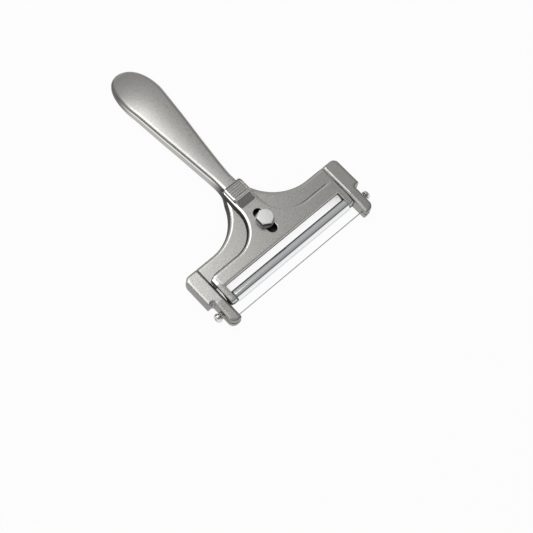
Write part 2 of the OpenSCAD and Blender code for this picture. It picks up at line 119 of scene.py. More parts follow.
def roundCorners(corners, radii, steps=10):
    # every corner becomes an arc that touches both its edges: its centre lies on the bisector, at
    # r / sin(half the angle) from the corner
    corners = np.array(corners, float)
    r = np.array(radii, float)[:, None]
    toLast = unit(np.roll(corners, 1, 0) - corners)
    toNext = unit(np.roll(corners, -1, 0) - corners)
    half = np.arccos(np.clip((toLast * toNext).sum(1, keepdims=True), -1, 1)) / 2
    centre = corners + unit(toLast + toNext) * r / np.sin(half)
    first = (corners + toLast * r / np.tan(half) - centre) / r
    last = (corners + toNext * r / np.tan(half) - centre) / r
    turn = (np.pi - 2 * half)[:, :, None]
    t = np.linspace(0, 1, steps + 1)[None, :, None]
    swing = (np.sin((1 - t) * turn) * first[:, None] + np.sin(t * turn) * last[:, None]) / np.sin(turn)
    return (centre[:, None] + r[:, :, None] * swing).reshape(-1, 2)


def arc(centre, radius, start, end, steps):
    # points at equal angles on a circle
    a = np.radians(np.linspace(start, end, steps + 1))
    return np.stack([centre[0] + radius * np.cos(a), centre[1] + radius * np.sin(a)], 1)


def stadium(near, far, half, steps):
    # two half circles about X = 0, joined by straights
    return np.concatenate([arc((0, near), half, 180, 360, steps), arc((0, far), half, 0, 180, steps)])


def circle(sides):
    # equal angles all the way round, the first not repeated
    return np.linspace(0, 2 * np.pi, sides + 1)[:-1]


def around(radius, height, a):
    # points about Z at the angles a: radius * cos, radius * sin, height
    return np.stack(np.broadcast_arrays(radius * np.cos(a), radius * np.sin(a), height), -1)


def divisions(outline, spacing):
    # into how many parts each straight of a closed outline is cut, so that none is longer than the spacing
    step = np.roll(outline, -1, 0) - outline
    return np.maximum(1, np.ceil(np.linalg.norm(step, axis=1) / spacing).astype(int))


def spread(outline, counts):
    # cuts every straight of a closed outline into its count of equal parts
    step = np.roll(outline, -1, 0) - outline
    start = np.repeat(np.arange(len(outline)), counts)
    within = np.arange(len(start)) - np.repeat(np.cumsum(counts) - counts, counts)
    return outline[start] + step[start] * (within / counts[start])[:, None]


def inward(outline):
    # the mitred inward way of a counterclockwise outline: both edge normals added, over 1 + their product
    a = unit(outline - np.roll(outline, 1, 0))
    b = unit(np.roll(outline, -1, 0) - outline)
    na = np.stack([-a[:, 1], a[:, 0]], 1)
    nb = np.stack([-b[:, 1], b[:, 0]], 1)
    return (na + nb) / (1 + (na * nb).sum(1, keepdims=True))


def loft(rings, closed=False):
    # rings of points joined by quads; the last ring joins the first, or else each end is one flat face
    k, n = rings.shape[:2]
    i, j = np.meshgrid(np.arange(k if closed else k - 1), np.arange(n), indexing="ij")
    right, above = (j + 1) % n, (i + 1) % k
    walls = np.stack([i * n + j, i * n + right, above * n + right, above * n + j], -1).reshape(-1, 4)
    ends = [] if closed else [np.arange(n)[::-1].tolist(), ((k - 1) * n + np.arange(n)).tolist()]
    return rings.reshape(-1, 3), walls.tolist() + ends


def stacked(flat, profile):
    # rings in plan, each raised to its height in the profile of (inset, height)
    height = np.broadcast_to(profile[:, None, 1:], flat.shape[:2] + (1,))
    return loft(np.concatenate([flat, height], 2))


def ringSolid(outline, profile, drafts=(), share=1):
    # a slab: the outline drawn in by each inset of the profile, at that inset's height; each draft leans
    # the sides out below, by its share at every point: (height where it ends, height where it is full, size)
    profile = np.array(profile, float)
    inset = np.repeat(profile[:, :1], len(outline), 1)
    for end, full, size in drafts:
        inset = inset - clamp((end - profile[:, 1:]) / (end - full)) * size * share
    return stacked(outline[None] + inset[:, :, None] * inward(outline)[None], profile)


def roundedRings(corners, radii, insets, steps=10, spacing=2.0):
    # a counterclockwise polygon drawn in by each inset: outer corners lose the inset from their radius,
    # inner ones gain it
    corners, radii = np.array(corners, float), np.array(radii, float)
    before, after = corners - np.roll(corners, 1, 0), np.roll(corners, -1, 0) - corners
    outer = before[:, 0] * after[:, 1] - before[:, 1] * after[:, 0] > 0
    miter = inward(corners)
    counts = divisions(roundCorners(corners, radii, steps), spacing)
    rings = []
    for i in insets:
        drawnIn = np.where(outer, np.maximum(radii - i, 0.05), radii + i)
        rings.append(spread(roundCorners(corners + i * miter, drawnIn, steps), counts))
    return np.array(rings)


def roundedSolid(corners, radii, profile, steps=10, spacing=2.0):
    # a slab over a polygon with rounded corners: each inset of the profile at its height
    profile = np.array(profile, float)
    return stacked(roundedRings(corners, radii, profile[:, 0], steps, spacing), profile)


def turned(profile, sides=96):
    # a shape turned about Z: each (radius, height) of the profile becomes a ring
    profile = np.array(profile, float)
    return loft(around(profile[:, :1], profile[:, 1:], circle(sides)[None]))


def turnedRing(profile, sides=96):
    # a ring turned about Z from a closed counterclockwise profile of (radius, height)
    profile = np.array(profile, float)
    return loft(around(profile[:, 0], profile[:, 1], circle(sides)[:, None])[::-1], True)


def shifted(shape, x=0, y=0, z=0):
    # the same shape moved by x, y and z
    return shape[0] + np.array([x, y, z]), shape[1]


def alongX(shape, x=0, y=0, z=0):
    # turns a shape's Z to X, its X to Y and its Y to Z, and then moves it
    return shifted((shape[0][:, [2, 0, 1]], shape[1]), x, y, z)


def mirrored(shape):
    # the left-hand copy: x changes sign, and every face turns round so that it still points outwards
    return shape[0] * [-1, 1, 1], [f[::-1] for f in shape[1]]


weldDistance = 0.0005                                # points nearer than this become one


def closedMesh(name, shape):
    # points that share a place become one, so that seams, poles and empty faces close
    mesh = bpy.data.meshes.new(name)
    mesh.from_pydata(shape[0].tolist(), [], shape[1])
    work = bmesh.new()
    work.from_mesh(mesh)
    bmesh.ops.remove_doubles(work, verts=work.verts, dist=weldDistance)
    work.to_mesh(mesh)
    work.free()
    return mesh


def appliedMesh(made):
    # the mesh that an object's modifiers leave
    bpy.context.view_layer.update()
    return bpy.data.meshes.new_from_object(made.evaluated_get(bpy.context.evaluated_depsgraph_get()))


def combine(name, start, steps):
    # starts from one solid and joins or cuts the others in turn
    base = addObject(name, closedMesh(name, start))
    others = []
    for operation, shape in steps:
        other = addObject("other", closedMesh("other", shape))
        others.append(other)
        change = base.modifiers.new("change", "BOOLEAN")
        change.operation, change.solver, change.object = operation, "EXACT", other
    made = appliedMesh(base)
    for o in [base] + others:
        bpy.data.objects.remove(o)
    return made


def upright(nz, steep=0.3):
    # 1 on faces that stand upright, 0 on those that face up or down
    return 1 - smooth((np.abs(nz) - steep) / 0.2)


def within(nz, low, high, soft=0.06):
    # 1 while the normal's height is between the two values, easing out on both sides
    return smooth((nz - low) / soft + 0.5) * smooth((high - nz) / soft + 0.5)


def paintedShadeShare(mesh, amount):
    # how much painted shade a face gets, from its place and its normal's height; an edge with a painted
    # highlight has less than 0
    middles = np.empty(len(mesh.polygons) * 3)
    normals = np.empty(len(mesh.polygons) * 3)
    counts = np.empty(len(mesh.polygons), int)
    mesh.polygons.foreach_get("center", middles)
    mesh.polygons.foreach_get("normal", normals)
    mesh.polygons.foreach_get("loop_total", counts)
    middles, normals = middles.reshape(-1, 3), normals.reshape(-1, 3)
    share = mesh.attributes.new("side", "FLOAT", "CORNER")
    share.data.foreach_set("value", np.repeat(amount(*middles.T, normals[:, 2]), counts).astype(np.float32))


def evenNormals(made):
    # large flat faces keep their own normal, and the small faces beside them bend towards it
    change = made.modifiers.new("evenNormals", "WEIGHTED_NORMAL")
    change.keep_sharp = True
    change.weight = 100
    mesh = appliedMesh(made)
    made.modifiers.clear()
    made.data = mesh


def piece(name, shape, material, body, nodes, sharp=32.0, amount=None):
    # turns a shape, or a mesh made by combine, into a piece that rides on its body and stands for its
    # CAD nodes
    mesh = closedMesh(name, shape) if isinstance(shape, tuple) else shape
    mesh.name = name
    mesh.validate()
    if amount:
        paintedShadeShare(mesh, amount)
    mesh.transform(Matrix.Translation((0, wireY * mm, 0)) @ Matrix.Scale(mm, 4))
    mesh.shade_smooth()
    mesh.set_sharp_from_angle(angle=np.radians(sharp))
    mesh.materials.clear()
    mesh.materials.append(material)
    made = addObject(name, mesh)
    evenNormals(made)
    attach(made, body)
    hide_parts(*nodes)
    return made


# Materials
def newMaterial(name, color, metallic, roughness):
    # a new material, its node tree and its shader
    made = bpy.data.materials.new(name)
    made.use_nodes = True
    shader = made.node_tree.nodes["Principled BSDF"]
    shader.inputs["Base Color"].default_value = (*color, 1)
    shader.inputs["Metallic"].default_value = metallic
    shader.inputs["Roughness"].default_value = roughness
    return made, made.node_tree, shader


def addNode(tree, kind, inputs=(), **settings):
    # a new node with its settings; whatever is given for its first inputs is linked to them in turn
    node = tree.nodes.new(kind)
    for name, value in settings.items():
        setattr(node, name, value)
    for socket, source in zip(node.inputs, inputs):
        tree.links.new(source, socket)
    return node


def noise(tree, scale, detail, stretch=(1, 1, 1), turn=0.0):
    # noise over the object's own coordinates in metres, stretched along one way for a brushed grain
    place = addNode(tree, "ShaderNodeTexCoord")
    mapping = addNode(tree, "ShaderNodeMapping", [place.outputs["Object"]])
    mapping.inputs["Scale"].default_value = stretch
    mapping.inputs["Rotation"].default_value = (0, 0, np.radians(turn))
    grain = addNode(tree, "ShaderNodeTexNoise", [mapping.outputs["Vector"]])
    grain.inputs["Scale"].default_value = scale
    grain.inputs["Detail"].default_value = detail
    return grain.outputs["Fac"]


mapEnds = (0.3, 0.7)                                 # the part of a noise's range that is used


def ranged(tree, source, low, high, start=mapEnds[0], end=mapEnds[1], held=True):
    # maps start..end of the source onto low..high, and holds it there unless it may go past
    remap = addNode(tree, "ShaderNodeMapRange", [source], clamp=held)
    for socket, value in zip(("From Min", "From Max", "To Min", "To Max"), (start, end, low, high)):
        remap.inputs[socket].default_value = value
    return remap.outputs["Result"]


def tinted(tree, source, dark, light):
    # from dark to light along the source
    ramp = addNode(tree, "ShaderNodeValToRGB", [source])
    for element, position, color in zip(ramp.color_ramp.elements, mapEnds, (dark, light)):
        element.position, element.color = position, (*color, 1)
    return ramp.outputs["Color"]


def shaded(tree, color, shade, held=True):
    # the side attribute, and the colour scaled from 1 to the given shade along it
    side = addNode(tree, "ShaderNodeAttribute", attribute_name="side").outputs["Fac"]
    scaled = addNode(tree, "ShaderNodeVectorMath", [color], operation="SCALE")
    tree.links.new(ranged(tree, side, 1.0, shade, 0.0, 1.0, held), scaled.inputs["Scale"])
    return side, scaled.outputs[0]


def bumped(tree, shader, sources, distance):
    # every source raises the surface in turn; each is a height, and its strength
    last = None
    for height, strength in sources:
        bump = addNode(tree, "ShaderNodeBump")
        bump.inputs["Strength"].default_value = strength
        bump.inputs["Distance"].default_value = distance
        tree.links.new(height, bump.inputs["Height"])
        if last:
            tree.links.new(last, bump.inputs["Normal"])
        last = bump.outputs["Normal"]
    tree.links.new(last, shader.inputs["Normal"])


castLook = {
    "dark": (0.50, 0.49, 0.47),
    "light": (0.57, 0.56, 0.54),
    "sideShade": 0.13,                               # how bright the painted shade leaves the upright sides
    "roughness": (0.26, 0.34),
    "sideRoughness": 0.42,
    "edgeTint": (0.7, 0.7, 0.7, 1),                  # dulls what is seen at a glancing angle
    "grain": (2400.0, 3.0),                          # scale and detail of each noise
    "mottle": (700.0, 4.0),
    "brush": (2400.0, 2.0, (1.0, 0.1, 1.0), 35.0),   # and how it is stretched and turned
    "bumpHeight": 0.00004,
    "bumps": (0.22, 0.16, 0.06),
}


def castMetalMaterial(look):
    # ground cast metal: fine grain, brushing and mottle in its bumps; the sides are rougher and get painted
    # shade, and the bevels a painted highlight, through the side attribute
    made, tree, shader = newMaterial("groundCastAluminium", look["light"], 1.0, look["roughness"][0])
    shader.inputs["Specular Tint"].default_value = look["edgeTint"]
    fine, brushed, mottle = [noise(tree, *look[kind]) for kind in ("grain", "brush", "mottle")]
    side, color = shaded(tree, tinted(tree, fine, look["dark"], look["light"]), look["sideShade"], False)
    tree.links.new(color, shader.inputs["Base Color"])
    rough = addNode(tree, "ShaderNodeMath", [side], operation="MULTIPLY_ADD")
    rough.inputs[1].default_value = look["sideRoughness"] - look["roughness"][0]
    tree.links.new(ranged(tree, mottle, *look["roughness"]), rough.inputs[2])
    tree.links.new(rough.outputs[0], shader.inputs["Roughness"])
    bumped(tree, shader, list(zip((fine, brushed, mottle), look["bumps"])), look["bumpHeight"])
    return made


platedLook = {
    "edgeTint": (0.6, 0.6, 0.6, 1),
    "grain": (1800.0, 3.0),
    # how bright the painted shade leaves the bolt's upright faces and its washer
    "sideShade": 0.2,
    "bumpHeight": 0.00003,
    # dark and light colour, roughness, share of the bumps
    "roller": ((0.89, 0.90, 0.91), (0.94, 0.95, 0.96), (0.08, 0.14), 0.02),
    "bolt": ((0.88, 0.88, 0.87), (0.96, 0.96, 0.95), (0.48, 0.56), 0.05),
    "screw": ((0.70, 0.70, 0.67), (0.82, 0.82, 0.80), (0.10, 0.2), 0.1),
    "wire": ((0.5, 0.5, 0.5), (0.62, 0.62, 0.62), (0.22, 0.34), 0.1),
    "spring": ((0.22, 0.22, 0.23), (0.32, 0.32, 0.33), (0.3, 0.42), 0.15),
}


def platedMaterial(name, look, dark, light, roughness, bumpShare):
    # even bright metal with a fine grain
    made, tree, shader = newMaterial(name, light, 1.0, roughness[0])
    shader.inputs["Specular Tint"].default_value = look["edgeTint"]
    fine = noise(tree, *look["grain"])
    color = shaded(tree, tinted(tree, fine, dark, light), look["sideShade"])[1]
    tree.links.new(color, shader.inputs["Base Color"])
    tree.links.new(ranged(tree, fine, *roughness), shader.inputs["Roughness"])
    bumped(tree, shader, [(fine, bumpShare)], look["bumpHeight"])
    return made


bushLook = {
    "color": (0.8, 0.79, 0.75),
    "dark": (0.76, 0.75, 0.71),
    "light": (0.83, 0.82, 0.78),
    "roughness": (0.4, 0.52),
    "grain": (1200.0, 3.0),
    "bumpHeight": 0.00003,
    "bump": 0.1,
}


def plasticMaterial(look):
    # pale plastic with a fine grain
    made, tree, shader = newMaterial("bushPlastic", look["color"], 0.0, look["roughness"][0])
    fine = noise(tree, *look["grain"])
    tree.links.new(tinted(tree, fine, look["dark"], look["light"]), shader.inputs["Base Color"])
    tree.links.new(ranged(tree, fine, *look["roughness"]), shader.inputs["Roughness"])
    bumped(tree, shader, [(fine, look["bump"])], look["bumpHeight"])
    return made


castMetal = castMetalMaterial(castLook)
rollerChrome = platedMaterial("polishedRollerSteel", platedLook, *platedLook["roller"])
platedSteel = platedMaterial("platedBoltSteel", platedLook, *platedLook["bolt"])
screwNickel = platedMaterial("nickelScrewSteel", platedLook, *platedLook["screw"])
wireSteel = platedMaterial("drawnWireSteel", platedLook, *platedLook["wire"])
springSteel = platedMaterial("darkSpringSteel", platedLook, *platedLook["spring"])
bushPlastic = plasticMaterial(bushLook)
print("materials ready")


# Handle
handleSizes = {
    "root": 61.14,
    "swellStart": 71.9,
    "peak": 148.0,
    "capLength": 27.2,
    "capPower": 2.17,
    "rimPower": 4.0,                                 # how long the end keeps its thickness
    "neckHalf": 6.1,
    "half": 13.95,
    "neckTop": 11.5,
    "top": 13.4,
    "neckLow": 2.05,
    "low": 3.1,
    "droopStart": 135.0,
    "droopLength": 40.2,
    "droop": 5.9,
    "midShares": (0.32, 0.38),                       # where the widest level lies, at the neck and the peak
    "corner": 2.9,                                   # radius between the top and the sides
    "cornerLimits": (0.8, 0.75),                     # its largest shares of the half width and of the rise
    "sectionParts": (0.1, 0.65),                     # where the section's upright side ends, and its corner
    "lowRate": 1.4,                                  # how much sooner the underside swells than the top
    "sections": (110, 48),                           # how many along the body, and along the rounded end
    "capEnd": 89.6,                                  # the last section's angle round the end
    "underPowers": (8.0, 2.6),
    "crownShares": (0.02, 0.10),
    "swellShares": (0, 0.08, 0.19, 0.3, 0.42, 0.55, 0.67, 0.78, 0.89, 1),
}


def swellAt(y, sizes):
    # a smooth cubic curve through the swell shares, which stand at equal steps from the neck to the peak:
    # at each share it runs along the line from the share before to the share after
    shares = np.array(sizes["swellShares"], float)
    last = len(shares) - 1
    s = clamp((y - sizes["swellStart"]) / (sizes["peak"] - sizes["swellStart"])) * last
    i = np.minimum(last - 1, np.floor(s)).astype(int)
    f = s - i
    a, b = shares[np.maximum(0, i - 1)], shares[i]
    c, d = shares[i + 1], shares[np.minimum(last, i + 2)]
    return b + f * ((c - a) + f * ((2 * a - 5 * b + 4 * c - d) + f * (3 * b - a - 3 * c + d))) / 2


def handleShape(sizes):
    # sections across Y: below the widest level a superellipse, above it upright sides, quarter circles and a
    # slightly crowned top; the end closes as a superellipse in plan and droops as a parabola
    bodyCount, capCount = sizes["sections"]
    body = np.linspace(sizes["root"], sizes["peak"], bodyCount)
    capAngles = np.radians(np.linspace(0, sizes["capEnd"], capCount))[1:]
    y = np.concatenate([body, sizes["peak"] + sizes["capLength"] * np.sin(capAngles)])[:, None]
    t = clamp((y - sizes["peak"]) / sizes["capLength"])
    swell = swellAt(y, sizes)
    cap = (1 - t ** sizes["capPower"]) ** (1 / sizes["capPower"])
    rim = (1 - t ** sizes["rimPower"]) ** (1 / sizes["rimPower"])
    half = lerp(sizes["neckHalf"], sizes["half"], swell) * cap
    top = lerp(sizes["neckTop"], sizes["top"], smooth(swell))
    low = lerp(sizes["neckLow"], sizes["low"], smooth(sizes["lowRate"] * swell))
    mid = lerp(low, top, lerp(*sizes["midShares"], swell))
    droop = sizes["droop"] * clamp((y - sizes["droopStart"]) / sizes["droopLength"]) ** 2
    rise = (top - mid) * rim
    ofWidth, ofRise = sizes["cornerLimits"]
    corner = np.minimum(sizes["corner"], np.minimum(ofWidth * half, ofRise * rise))
    sideEnd, cornerEnd = sizes["sectionParts"]
    t = np.linspace(0, 1, 49)[None, :-1]
    turn = np.pi / 2 * clamp((t - sideEnd) / (cornerEnd - sideEnd))
    x = half - corner + corner * np.cos(turn) - (half - corner) * clamp((t - cornerEnd) / (1 - cornerEnd))
    z = (rise - corner) * clamp(t / sideEnd) + corner * np.sin(turn)
    z = z * (1 - lerp(*sizes["crownShares"], swell) * (x / half) ** 2 * smooth(t / sideEnd))
    a = np.radians(np.linspace(0, 90, 37))[None, :-1]
    power = 2 / lerp(*sizes["underPowers"], swell)
    under = half * np.sin(a) ** power, -(mid - low) * cap * np.cos(a) ** power
    # counterclockwise from the right side over the top to the left, and back below
    x = np.concatenate([x, 0 * half, -x[:, :0:-1], -half, -under[0][:, :0:-1], under[0]], 1)
    z = np.concatenate([z, rise, z[:, :0:-1], 0 * half, under[1][:, :0:-1], under[1]], 1)
    z = z + mid - droop
    rings = np.stack([x, np.broadcast_to(y, x.shape), z], -1)
    return loft(rings[:, ::-1])


# Yoke: the plate between the handle and the cheeks
yokeSizes = {
    "front": 22.0,
    "rear": 37.4,
    "curve": 34.5,
    "neckHalf": 6.1,
    "reach": 58.9,
    "endRadius": 3.0,
    "bottom": 2.0,
    "top": 9.0,
    "holeHalf": 3.2,
    "pocketHalf": 7.0,
    "pocketDepth": 4.4,
    "boltY": 34.3,
    "seatEnds": (27.4, 41.2),
    "seatHalf": 4.4,
    "seatDepth": 1.3,
    "drafts": [(8.7, 7.95, 0.75), (8.0, 2.6, 0.9)],
}
# inset from the outline, height: upright sides with a parting line, and a shallow bevel round the top
yokeEdge = [
    (0.7, 2.0), (0.45, 2.05), (0.25, 2.2), (0.12, 2.5), (0.06, 3.2), (0.02, 4.4), (-0.04, 4.6), (-0.04, 4.7),
    (0.02, 4.9), (0.04, 6.4), (0.05, 7.6), (0.05, 7.95), (0.06, 8.15), (0.06, 8.3), (0.1, 8.45), (0.2, 8.57),
    (0.4, 8.7), (0.65, 8.82), (0.85, 8.89), (1.1, 8.94), (1.4, 8.975), (1.75, 9.0),
]
rearFade = {"front": 1.0, "run": 3.0, "neck": 58.0, "neckRun": 9.0}


def yokeOutline(sizes):
    # two quarter arcs lead from the straight arms into the neck, which ends as a half circle in the handle
    bend = sizes["neckHalf"] + sizes["curve"]
    level = sizes["rear"] + sizes["curve"]
    left = arc((-bend, level), sizes["curve"], 360, 270, 60)
    right = arc((bend, level), sizes["curve"], 270, 180, 60)
    end = arc((0, level), sizes["neckHalf"], 0, 180, 24)[1:-1]
    corners = [(-bend, sizes["front"]), (bend, sizes["front"])]
    radius, steps = sizes["endRadius"], 6
    armEnd = roundCorners([
        (sizes["reach"], sizes["front"]), (sizes["reach"], sizes["rear"]), (bend, sizes["rear"]), corners[1],
    ], (radius, radius, 0.01, 0.01), steps)[:2 * (steps + 1)]
    outline = np.concatenate([corners, armEnd, right, end, left, (armEnd * [-1, 1])[::-1]])
    return spread(outline, divisions(outline, 3.2))


def rearShare(outline, front, reach):
    # 1 on the hollow curves at the back, 0 on the front edge, at the ends and at the neck
    x, y = outline.T
    back = smooth((y - front - rearFade["front"]) / rearFade["run"])
    middle = smooth((reach - np.abs(x)) / rearFade["run"])
    return back * middle * (1 - smooth((y - rearFade["neck"]) / rearFade["neckRun"]))


def postShape(radius, y, low=0, high=20, sides=64):
    # a plain round post, for cutting bores; unless its ends are given, it goes through everything
    outline = arc((0, 0), radius, 0, 360, sides)[:-1] + [0, y]
    return ringSolid(outline, [(0, low), (0, high)])


# Cheeks
cheekSizes = {
    "inner": 53.2,
    "width": 11.4,
    "noseWidth": 7.4,
    "noseTip": -noseAhead,
    "step": 14.6,
    "rear": 37.7,
    "radii": (1.6, 4.6, 0.9, 0.8, 4.0, 1.6),
    "slitInner": 0.55,
    "slitOuter": 6.7,
    "slitLow": 4.6,
    "slitHeight": 1.4,
    "slitRise": 1.9,
    "riseEnd": 4.6,
    "slitFade": 5.0,                                 # over this length the rings sink back behind the slit
    "sideInset": 0.1,                                # draft of the sides at the slit's level
    "lipRound": 0.3,                                 # rounding of the slit's lips, and where it is full
    "lipReach": 1.2,
    "screwY": 6.7,
    "screwZ": 5.3,
    "boreHalf": 1.55,
    "boreDepth": 6.3,
}
# the top falls from a line across the cheek to its nose, and from a line along it to its inner side: by
# "fall" for every mm, in full at the height "high" and not at all at "low"
noseSlope = {"axis": 1, "from": 13.0, "fall": 0.055, "low": 8.6, "high": 11.0}
innerSlope = {"axis": 0, "from": 55.3, "fall": 0.30, "low": 8.6, "high": 10.7}
cheekLowEdge = [
    (1.2, 0.0), (0.95, 0.04), (0.7, 0.2), (0.52, 0.5), (0.42, 1.0), (0.2, 2.6), (0.06, 3.7), (0.0, 3.9),
    (0.0, 4.0), (0.05, 4.12),
]
cheekTopEdge = [
    (0.12, 8.6), (0.13, 9.7), (0.15, 10.15), (0.24, 10.32), (0.42, 10.46), (0.66, 10.6), (0.92, 10.73),
    (1.2, 10.84), (1.5, 10.92), (1.8, 10.97), (2.1, 11.0),
]


def sloped(shape, slope):
    # cuts the faces along one line and lets the top fall evenly from there, towards lower x or y
    mesh = closedMesh("sloped", shape)
    work = bmesh.new()
    work.from_mesh(mesh)
    everything = work.verts[:] + work.edges[:] + work.faces[:]
    line = np.eye(3)[slope["axis"]]
    bmesh.ops.bisect_plane(work, geom=everything, dist=0.0001, plane_co=line * slope["from"], plane_no=line)
    work.to_mesh(mesh)
    work.free()
    points = np.empty(len(mesh.vertices) * 3)
    mesh.vertices.foreach_get("co", points)
    points = points.reshape(-1, 3)
    share = clamp((points[:, 2] - slope["low"]) / (slope["high"] - slope["low"]))
    points[:, 2] -= share * slope["fall"] * np.maximum(0, slope["from"] - points[:, slope["axis"]])
    return points, [list(f.vertices) for f in mesh.polygons]


def cheekShape(sizes):
    # rings round the cheek from the table up; those of the slit go in as far as the slit's straight back wall
    inner, outer = sizes["inner"], sizes["inner"] + sizes["width"]
    nose = inner + sizes["noseWidth"]
    corners = [
        (inner, sizes["noseTip"]), (nose, sizes["noseTip"]), (nose, sizes["step"]),
        (outer, sizes["step"]), (outer, sizes["rear"]), (inner, sizes["rear"]),
    ]
    edges = np.array(cheekLowEdge + cheekTopEdge)
    outline, *edgeRings = roundedRings(corners, sizes["radii"], [0] + edges[:, 0].tolist(), 14, 0.5)
    wallStart = np.array([inner, sizes["slitInner"]])
    wallEnd = np.array([nose, sizes["slitOuter"]])
    first = np.argmin(np.linalg.norm(outline - wallStart, axis=1))
    outline = np.roll(outline, -first, 0)
    edgeRings = [
        np.concatenate([np.roll(ring, -first, 0), np.full((len(ring), 1), z)], 1)
        for ring, z in zip(edgeRings, edges[:, 1])]
    last = np.argmin(np.linalg.norm(outline - wallEnd, axis=1))
    inSlit = (np.arange(len(outline)) <= last)[:, None]
    inside = inward(outline)
    edge = sizes["sideInset"]
    base = outline + edge * inside
    step = np.linalg.norm(np.diff(base[:last + 1], axis=0), axis=1)
    way = np.zeros((len(outline), 1))
    way[1:last + 1, 0] = np.cumsum(step) / step.sum()
    wall = np.where(inSlit, base[0] + (base[last] - base[0]) * way, base)
    gap = np.linalg.norm(wall - base, axis=1, keepdims=True)
    opened = clamp(gap / sizes["lipReach"])
    lip = sizes["lipRound"] * opened

    def level(y):
        # how far the slit has climbed at y; past its end the rings sink back
        past = smooth((y - sizes["slitOuter"]) / sizes["slitFade"])
        return sizes["slitRise"] * smooth(y / sizes["riseEnd"]) * (1 - past)

    height = np.where(inSlit, sizes["slitHeight"], 0)
    low = sizes["slitLow"] + level(outline[:, 1:])
    lowWall = np.where(inSlit, sizes["slitLow"] + level(lerp(wall, outline, 0.2)[:, 1:]), low)
    lowWall = lerp(low, lowWall, opened)

    def ring(inset, z):
        # the outline drawn in by the inset, at the heights z
        return np.concatenate([outline + inset * inside, z], 1)

    rings = edgeRings[:len(cheekLowEdge)]
    rings += [ring(edge, low - lip), ring(edge + 0.3 * lip, low - 0.3 * lip), ring(edge + lip, low)]
    rings += [np.concatenate([wall, lowWall], 1), np.concatenate([wall, lowWall + height], 1)]
    high = low + height
    rings += [ring(edge + lip, high), ring(edge + 0.3 * lip, high + 0.3 * lip), ring(edge, high + lip)]
    return sloped(sloped(loft(np.array(rings + edgeRings[len(cheekLowEdge):])), noseSlope), innerSlope)


def seatShape(sizes):
    # the dished seat under the carriage's slot
    top, low = sizes["top"], sizes["top"] - sizes["seatDepth"]
    return ringSolid(stadium(*sizes["seatEnds"], sizes["seatHalf"], 24), [
        (1.0, low), (0.6, low + 0.1), (0.3, low + 0.4), (0.15, top - 0.2), (0.0, top + 0.6)])


def frameMesh():
    # the yoke joined with the handle and both cheeks, less the seat, the bolt's hole and pocket and both bores
    cheek = cheekShape(cheekSizes)
    depth = cheekSizes["inner"] + cheekSizes["noseWidth"] - cheekSizes["boreDepth"]
    bore = postShape(cheekSizes["boreHalf"], 0, sides=40)
    bore = alongX(bore, depth, cheekSizes["screwY"], cheekSizes["screwZ"])
    outline = yokeOutline(yokeSizes)
    share = rearShare(outline, yokeSizes["front"], yokeSizes["reach"])
    yoke = ringSolid(outline, yokeEdge, yokeSizes["drafts"], share)
    hole = postShape(yokeSizes["holeHalf"], yokeSizes["boltY"])
    ceiling = yokeSizes["bottom"] + yokeSizes["pocketDepth"]
    pocket = postShape(yokeSizes["pocketHalf"], yokeSizes["boltY"], high=ceiling, sides=96)
    steps = [("UNION", v) for v in (handleShape(handleSizes), cheek, mirrored(cheek))]
    steps += [("DIFFERENCE", v) for v in (seatShape(yokeSizes), hole, pocket, bore, mirrored(bore))]
    return combine("frameCasting", yoke, steps)


frameShadePaint = {
    "armEnd": (52.8, 0.4),                           # where the cheeks begin in X, and over what length
    "handle": (66, 14),                              # where the painted shade gives way to the handle, in Y
    "tip": (142, 18),                                # and where the painted shade at its end begins
    "rear": 24,                                      # behind this Y the arms' rounding gets painted shade as well
    "steep": (0.3, 0.38),                            # a side gets painted shade up to this rise of its normal; more there
    "cheekShare": 0.38,
    "bevel": (0.86, 0.992, 0.02),                    # rise of the normal on the bevels and on the edge that get a painted highlight
    "edge": (0.25, 0.6),
    "paintedHighlight": (0.5, 0.75),
    "tipShare": 0.8,
    "seat": (4.5, 12.5, 7.0, 8.95),                  # half width, half length, low and high of the seat, which is painted in full shade
}


def frameSides(x, y, z, nz):
    # painted shade on the upright sides: darkest on the arms, lighter on the cheeks and none on the handle,
    # but for its end, where it reaches up to the top; the shallow bevels and the handle's lower edge get a
    # painted highlight, and the seat under the slot full painted shade
    shadePaint = frameShadePaint
    handle, tip = [smooth((y - start) / run) for start, run in (shadePaint["handle"], shadePaint["tip"])]
    arms = (1 - smooth((np.abs(x) - shadePaint["armEnd"][0]) / shadePaint["armEnd"][1])) * (1 - handle)
    steep = shadePaint["steep"][0] + shadePaint["steep"][1] * arms * (y > shadePaint["rear"]) * (nz > 0)
    share = upright(nz, steep) * lerp(lerp(shadePaint["cheekShare"], 1.0, arms), 0.0, handle)
    share -= shadePaint["paintedHighlight"][0] * arms * within(nz, *shadePaint["bevel"]) * (z > 8)
    share -= shadePaint["paintedHighlight"][1] * handle * (1 - tip) * within(nz, *shadePaint["edge"])
    share += shadePaint["tipShare"] * tip * (1 - smooth((nz - 0.6) / 0.35)) * (nz > -0.3)
    half, reach, low, high = shadePaint["seat"]
    seat = (np.abs(x) < half) & (np.abs(y - yokeSizes["boltY"]) < reach) & (z > low) & (z < high)
    return np.where(seat, 1.0, share)


frameCasting = piece("frameCasting", frameMesh(), castMetal, "frame_body", ["frame"],
                     amount=frameSides)
print("frame casting made", len(frameCasting.data.polygons))


